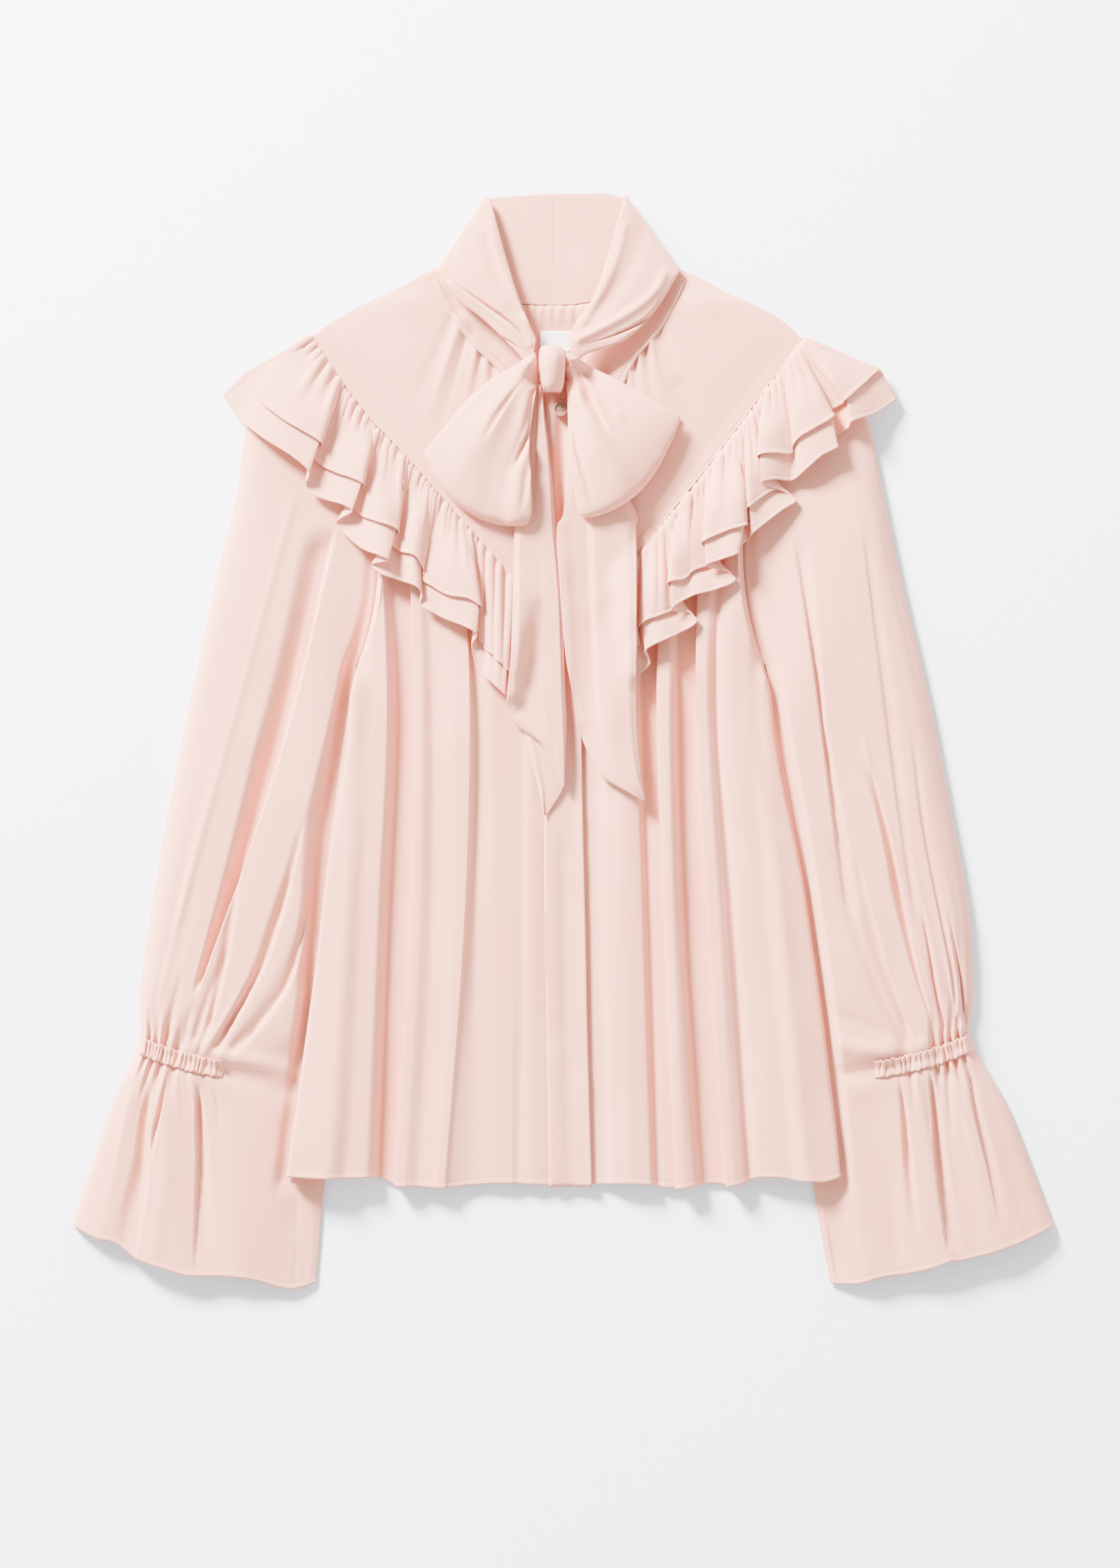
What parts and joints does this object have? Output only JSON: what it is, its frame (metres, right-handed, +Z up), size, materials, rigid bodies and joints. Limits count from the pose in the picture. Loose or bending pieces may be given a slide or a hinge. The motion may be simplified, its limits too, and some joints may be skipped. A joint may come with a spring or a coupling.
{
  "type": "tie neck blouse",
  "caption": "Long-sleeved blouse laid flat, with a tied bow at the neck, ruffles along a V-shaped yoke, a button placket, gathered body and flared cuffs.",
  "frame": {"origin": "middle of the garment's outline, on the surface it lies on", "axes": "+Z up from the surface, +Y up the garment from hem to collar, +X to the viewer's right"},
  "size_m": [0.6776, 0.7529, 0.0292],
  "materials": {
    "blush_crepe": "soft matte crepe in pale blush pink",
    "button_plastic": "satin plastic, dyed to match the cloth",
    "label_satin": "white woven satin ribbon, bare"
  },
  "bodies": {
    "root": {"back_panel": "blush_crepe", "back_yoke": "blush_crepe", "front_panel_left": "blush_crepe", "front_panel_right": "blush_crepe", "front_yoke_left": "blush_crepe", "front_yoke_right": "blush_crepe", "placket": "blush_crepe", "sleeve_left": "blush_crepe", "sleeve_right": "blush_crepe", "elastic_casing_left": "blush_crepe", "elastic_casing_right": "blush_crepe", "ruffle_lower_left": "blush_crepe", "ruffle_lower_right": "blush_crepe", "ruffle_upper_left": "blush_crepe", "ruffle_upper_right": "blush_crepe", "neckband_left": "blush_crepe", "neckband_right": "blush_crepe", "collar": "blush_crepe", "bow_knot": "blush_crepe", "bow_loop_left": "blush_crepe", "bow_loop_right": "blush_crepe", "tie_tail_left": "blush_crepe", "tie_tail_right": "blush_crepe", "button": "button_plastic", "label": "label_satin"}
  },
  "joints": []
}
